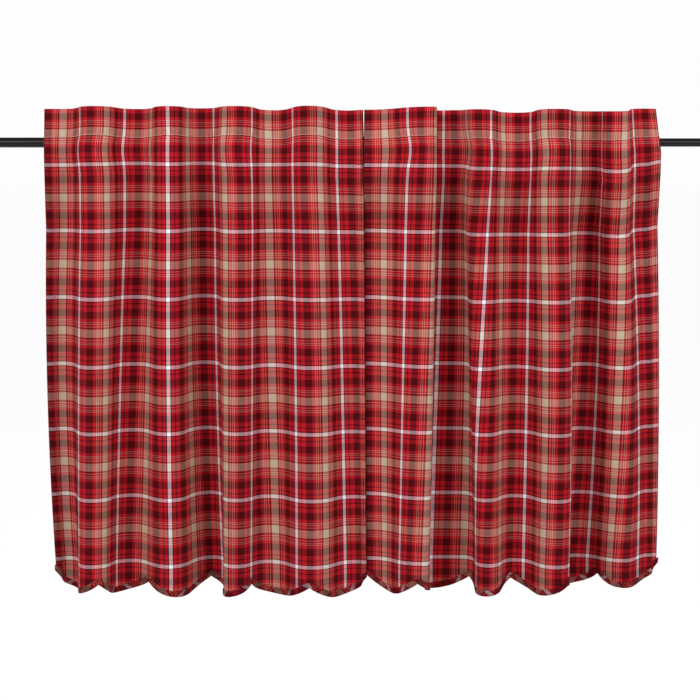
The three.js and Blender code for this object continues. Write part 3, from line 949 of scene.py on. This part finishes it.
def woven_cotton(name, depth):
    """depth is how much painted shade darkens and enriches the colours, from 0 to 1."""
    made, tree, surface = new_material(name)
    flat = box(tree, "ShaderNodeUVMap", uv_map="flat_cloth").outputs[0]
    split = box(tree, "ShaderNodeSeparateXYZ", {0: flat})
    across, down = split.outputs["X"], split.outputs["Y"]
    warp = sett_colour(tree, across, WARP_REPEAT, WARP_SHIFT)
    weft = sett_colour(tree, down, WEFT_REPEAT, -FIRST_WHITE_WEFT / WEFT_REPEAT)
    uneven = [uneven_yarn(tree, across, down), uneven_yarn(tree, down, across)]
    toned = [
        box(tree, "ShaderNodeVectorMath", {0: yarn, "Scale": factor}, operation="SCALE").outputs[0]
        for yarn, factor in zip((warp, weft), uneven)
    ]
    waves = [
        sum_of(tree, "SINE", sum_of(tree, "MULTIPLY", place, math.pi / YARN_PITCH))
        for place in (across, down)
    ]
    crossing = sum_of(tree, "MULTIPLY", *waves)
    on_top = sum_of(tree, "MULTIPLY_ADD", crossing, ON_TOP, WARP_SHARE)
    woven = mix(tree, on_top, toned[1], toned[0])
    linear = box(tree, "ShaderNodeGamma", {"Color": woven, "Gamma": SCREEN_GAMMA}).outputs[0]
    # Painted shade: depth darkens and enriches the colours where the binding turns from the light.
    darker = box(tree, "ShaderNodeHueSaturation", {
        "Color": linear, "Saturation": 1 + PAINTED_SHADE_RICHNESS * depth, "Value": 1 - depth,
    }).outputs[0]
    add_relief(tree, surface, sum_of(tree, "ABSOLUTE", crossing), 0.35, YARN_HEIGHT)
    feed(tree, surface, {
        "Base Color": darker, "Roughness": 0.88, "Specular IOR Level": 0.1,
        "Sheen Weight": FUZZ, "Sheen Roughness": 0.45, "Sheen Tint": seen(0.95, 0.85, 0.85),
    })
    return made


plaid = woven_cotton("plaid_cotton", depth=0.0)
# The binding's colours carry painted shade, as its rounded edge turns from the light.
bias_plaid = woven_cotton("bias_binding_cotton_painted_shade", depth=0.45)
print("woven:", plaid.name, "and", bias_plaid.name)

# %% [markdown]
# ## Thread, paint and plastic
# The pocket's upper row is sewn with a pale twisted cotton, and all other rows with a dark red one.
# Each thread is painted paler on the crests of its twist and darker in its grooves: painted light
# and shade.
# The tubes are painted dark bronze, and paint on steel is smooth with a very fine orange-peel
# surface. The caps are moulded plastic of the same colour, less glossy and a little rougher. Each
# gets its own small unevenness, because nothing real is perfectly even.

# %% Mix the other finishes
TWISTS = 900.0  # scale of the twist's wave
TWIST_HEIGHT = 0.06 * MM
SHINE = 0.18  # a dull lacquer mirrors the room less than a polished one
PATCHES = 14.0  # scale of the broad patches that are a little darker or rougher
PATCH_TONE = 0.75
PATCH_ROUGHNESS = 0.16


def twisted_thread(name, dark, light):
    made, tree, surface = new_material(name)
    place = box(tree, "ShaderNodeTexCoord").outputs["Object"]
    inputs = {"Vector": place, "Scale": TWISTS, "Distortion": 1.5}
    twist = box(tree, "ShaderNodeTexWave", inputs, bands_direction="DIAGONAL").outputs["Fac"]
    # Painted light and shade: the twist's crests get the paler colour, its grooves the darker one.
    feed(tree, surface, {"Base Color": mix(tree, twist, dark, light), "Roughness": 0.7})
    add_relief(tree, surface, twist, 0.5, TWIST_HEIGHT)
    return made


def noise(tree, scale, detail):
    place = box(tree, "ShaderNodeTexCoord").outputs["Object"]
    inputs = {"Vector": place, "Scale": scale, "Detail": detail}
    return box(tree, "ShaderNodeTexNoise", inputs).outputs[0]


def dark_finish(name, colour, roughness, grain, height):
    """A dark, nearly even finish. grain is the size of its surface, and height how far it rises."""
    made, tree, surface = new_material(name)
    fine, broad = noise(tree, 1 / grain, 3.0), noise(tree, PATCHES, 4.0)
    darker = (*(PATCH_TONE * c for c in colour[:3]), 1.0)
    rough = sum_of(tree, "MULTIPLY_ADD", broad, PATCH_ROUGHNESS, roughness - PATCH_ROUGHNESS / 2)
    feed(tree, surface, {
        "Base Color": mix(tree, broad, darker, colour), "Roughness": rough,
        "Specular IOR Level": SHINE,
    })
    add_relief(tree, surface, fine, 0.3, height)
    return made


# Each pair is a shaded and a lit copy of one thread colour: painted shade and light on the twist.
pale_thread = twisted_thread("pale_thread", seen(0.86, 0.76, 0.68), seen(1.0, 0.95, 0.88))
dark_thread = twisted_thread("dark_thread", seen(0.30, 0.07, 0.09), seen(0.46, 0.12, 0.15))
bronze_paint = dark_finish("bronze_paint", seen(0.07, 0.045, 0.035), 0.24, 1.2 * MM, 0.05 * MM)
cap_plastic = dark_finish("cap_plastic", seen(0.13, 0.11, 0.10), 0.5, 0.6 * MM, 0.04 * MM)
print("finishes:", pale_thread.name, dark_thread.name, bronze_paint.name, cap_plastic.name)

# %% [markdown]
# ## Put the pieces in the model's place
# Each new piece now takes its finish, stands for the plain solid that held its place, and rides on
# the model's only body.


def dress(piece, finish, slot, *nodes):
    piece.data.materials.append(finish)
    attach(piece, "root")
    if nodes:
        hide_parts(*nodes)


for side in cloths:
    dress(panels[side], plaid, "plaid_cotton", f"{side}_panel")
    dress(bindings[side], bias_plaid, "bias_binding", f"{side}_binding")
    dress(threads[side], pale_thread, "plaid_cotton")
    threads[side].data.materials.append(dark_thread)
for node, piece in rod.items():
    finish, slot = (cap_plastic, "cap_bronze") if "cap" in node else (bronze_paint, "rod_bronze")
    dress(piece, finish, slot, node)

# %% [markdown]
# ## The studio
# Folds show best when light comes from both sides at a slant: each flank is lit by one light, and
# the valleys lie in the shade of the ridges. Two large softboxes do that, hung above the rod, and
# their light fades a little towards the hem. Pale surroundings fill the valleys. They are shown
# brighter than they shine, and the floor glows but lights no cloth, so neither washes the folds
# out. The floor lies as far below the rod as it would in a kitchen.

# %% Floor, surroundings and lights
FLOOR_HEIGHT = -1.6
FLOOR_RADIUS = 60.0
FLOOR_CORNERS = 96
FLOOR_GLOW = 0.58
SURROUNDINGS_SEEN = 0.985
SURROUNDINGS_LIGHT = 0.42
SOFTBOX_SIZE = 1.5
SOFTBOXES = {  # power in watts, and where each one hangs
    "left_softbox": (39.0, (-1.7, -2.0, 0.9)),
    "right_softbox": (35.0, (1.7, -2.0, 0.9)),
}
LIT_SPOT = Vector((0, 0, -0.4))

scene = bpy.context.scene
turns = [math.tau * k / FLOOR_CORNERS for k in range(FLOOR_CORNERS)]
rim = [(FLOOR_RADIUS * math.cos(a), FLOOR_RADIUS * math.sin(a), FLOOR_HEIGHT) for a in turns]
floor, floor_mesh = new_piece("floor", rim, [tuple(range(FLOOR_CORNERS))])
white = (1.0, 1.0, 1.0, 1.0)
floor_paint, floor_tree, floor_surface = new_material("pale_floor")
feed(floor_tree, floor_surface, {
    "Base Color": (0.92, 0.92, 0.92, 1.0), "Roughness": 1.0, "Specular IOR Level": 0.0,
    "Emission Color": white, "Emission Strength": FLOOR_GLOW,
})
floor_mesh.materials.append(floor_paint)
floor.visible_diffuse = False

world = bpy.data.worlds.new("pale_surroundings")
scene.world = world
world.use_nodes = True
sky = world.node_tree
sky.nodes.clear()
shining, shown = (
    box(sky, "ShaderNodeBackground", {"Color": white, "Strength": strength}).outputs[0]
    for strength in (SURROUNDINGS_LIGHT, SURROUNDINGS_SEEN)
)
directly_seen = box(sky, "ShaderNodeLightPath").outputs["Is Camera Ray"]
mixed_sky = box(sky, "ShaderNodeMixShader", {0: directly_seen, 1: shining, 2: shown})
box(sky, "ShaderNodeOutputWorld", {"Surface": mixed_sky.outputs[0]})

for name, (power, place) in SOFTBOXES.items():
    light = bpy.data.lights.new(name, "AREA")
    light.energy = power
    light.size = SOFTBOX_SIZE
    softbox = bpy.data.objects.new(name, light)
    softbox.location = place
    softbox.rotation_mode = "QUATERNION"
    softbox.rotation_quaternion = (softbox.location - LIT_SPOT).to_track_quat("Z", "Y")
    scene.collection.objects.link(softbox)
scene.view_settings.view_transform = "Standard"
print("soft lights:", ", ".join(SOFTBOXES))

# %% [markdown]
# ## The camera
# The curtain is seen from straight in front, with the eye at the height of the rod. That is why the
# wefts look level at the top and ride in waves lower down, where ridges come closer to the eye. The
# camera tilts down a little and its lens is shifted for the rest, as on a view camera, which keeps
# the upright folds upright.

# %% Place the camera
CAMERA_DISTANCE = 3.7
CAMERA_HEIGHT = 5 * MM
CAMERA_TILT = math.radians(2)
LENS = 100.8
LENS_SHIFT = -0.2024

lens = bpy.data.cameras.new("camera")
lens.lens = LENS
lens.shift_y = LENS_SHIFT
camera = bpy.data.objects.new("camera", lens)
camera.location = (0, -CAMERA_DISTANCE, CAMERA_HEIGHT)
camera.rotation_euler = (math.pi / 2 - CAMERA_TILT, 0, 0)
scene.collection.objects.link(camera)
scene.camera = camera
print("the lens sees", round(math.degrees(lens.angle), 1), "degrees")
